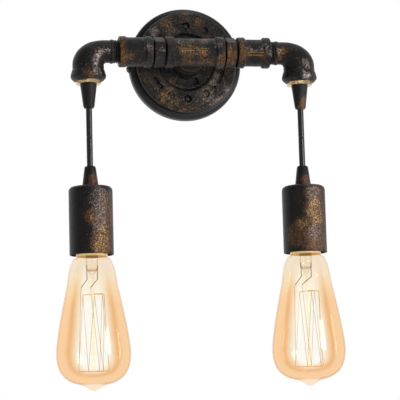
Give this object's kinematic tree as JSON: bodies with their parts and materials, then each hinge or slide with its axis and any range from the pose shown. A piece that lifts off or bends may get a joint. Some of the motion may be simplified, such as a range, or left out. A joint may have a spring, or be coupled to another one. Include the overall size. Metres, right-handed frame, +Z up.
{
  "type": "wall light",
  "caption": "Industrial pipe wall light: a cast flange on a round canopy, a pipe arm, and a pear bulb in a holder hanging on a short cord at each end.",
  "frame": {"origin": "centre of the canopy's open back, in the plane of the wall, midway between the bracket's screw slots", "axes": "+X along the pipe arm, +Y into the wall, +Z up"},
  "size_m": [0.257, 0.0905, 0.3525],
  "materials": {
    "aged_iron": "charcoal cast iron with rubbed copper and gold patches",
    "black_steel": "satin black paint",
    "dark_screw": "blackened steel",
    "zinc_steel": "zinc plated",
    "brass": "bright brass",
    "grip_black": "satin black, one rubbed with copper",
    "black_cord": "smooth black sheath",
    "aged_cup": "blackened metal with copper and silver speckle",
    "ceramic": "white glazed",
    "bulb_brass": "lamp cap brass",
    "black_glass": "black sealing glass",
    "solder": "dull solder",
    "amber_glass": "amber tinted glass",
    "clear_glass": "clear glass",
    "wire": "molybdenum wire",
    "filament": "glowing filament wire"
  },
  "bodies": {
    "fixture": {"wall_bracket": "zinc_steel", "earth_screw": "brass", "canopy": "black_steel", "canopy_side_screws": "black_steel", "flange": "aged_iron", "flange_screws": "dark_screw", "flange_nuts": "zinc_steel", "wall_nipple": "black_steel", "lock_washer": "zinc_steel", "lock_nut": "zinc_steel", "tee": "aged_iron", "hex_nipple_left": "aged_iron", "hex_nipple_right": "aged_iron", "coupling_left": "aged_iron", "coupling_right": "aged_iron", "street_elbow_left": "aged_iron", "street_elbow_right": "aged_iron", "brass_bush_left": "brass", "brass_bush_right": "brass", "upper_cord_grip_left": "grip_black", "upper_cord_grip_right": "grip_black", "feed_cable_left": "black_cord", "feed_cable_right": "black_cord"},
    "cord_left": {"cord_left": "black_cord"},
    "pendant_left": {"lower_cord_grip_left": "grip_black", "pendant_cable_left": "black_cord", "holder_cup_left": "aged_cup", "holder_nut_left": "brass", "socket_insulator_left": "ceramic", "socket_terminals_left": "brass", "screw_shell_left": "brass", "centre_contact_left": "brass"},
    "bulb_left": {"bulb_cap_left": "bulb_brass", "bulb_insulator_left": "black_glass", "bulb_contact_left": "solder", "bulb_glass_left": "amber_glass", "bulb_stem_left": "clear_glass", "bulb_supports_left": "wire", "bulb_filament_left": "filament"},
    "cord_right": {"cord_right": "black_cord"},
    "pendant_right": {"lower_cord_grip_right": "grip_black", "pendant_cable_right": "black_cord", "holder_cup_right": "aged_cup", "holder_nut_right": "brass", "socket_insulator_right": "ceramic", "socket_terminals_right": "brass", "screw_shell_right": "brass", "centre_contact_right": "brass"},
    "bulb_right": {"bulb_cap_right": "bulb_brass", "bulb_insulator_right": "black_glass", "bulb_contact_right": "solder", "bulb_glass_right": "amber_glass", "bulb_stem_right": "clear_glass", "bulb_supports_right": "wire", "bulb_filament_right": "filament"}
  },
  "joints": [
    {"name": "swing_out_left", "type": "hinge", "parent": "fixture", "child": "cord_left", "pos_m": [-0.096, -0.058, -0.0513], "axis": [-1, 0, 0], "range_deg": [-5, 20], "deforming": ["cord_left"]},
    {"name": "swing_aside_left", "type": "hinge", "parent": "cord_left", "child": "pendant_left", "pos_m": [-0.096, -0.058, -0.1035], "axis": [0, 1, 0], "range_deg": [-15, 15]},
    {"name": "bulb_out_left", "type": "slide", "parent": "pendant_left", "child": "bulb_left", "axis": [0, 0, -1], "range_m": [0, 0.06]},
    {"name": "swing_out_right", "type": "hinge", "parent": "fixture", "child": "cord_right", "pos_m": [0.096, -0.058, -0.0513], "axis": [-1, 0, 0], "range_deg": [-5, 20], "deforming": ["cord_right"]},
    {"name": "swing_aside_right", "type": "hinge", "parent": "cord_right", "child": "pendant_right", "pos_m": [0.096, -0.058, -0.1035], "axis": [0, 1, 0], "range_deg": [-15, 15]},
    {"name": "bulb_out_right", "type": "slide", "parent": "pendant_right", "child": "bulb_right", "axis": [0, 0, -1], "range_m": [0, 0.06]}
  ]
}
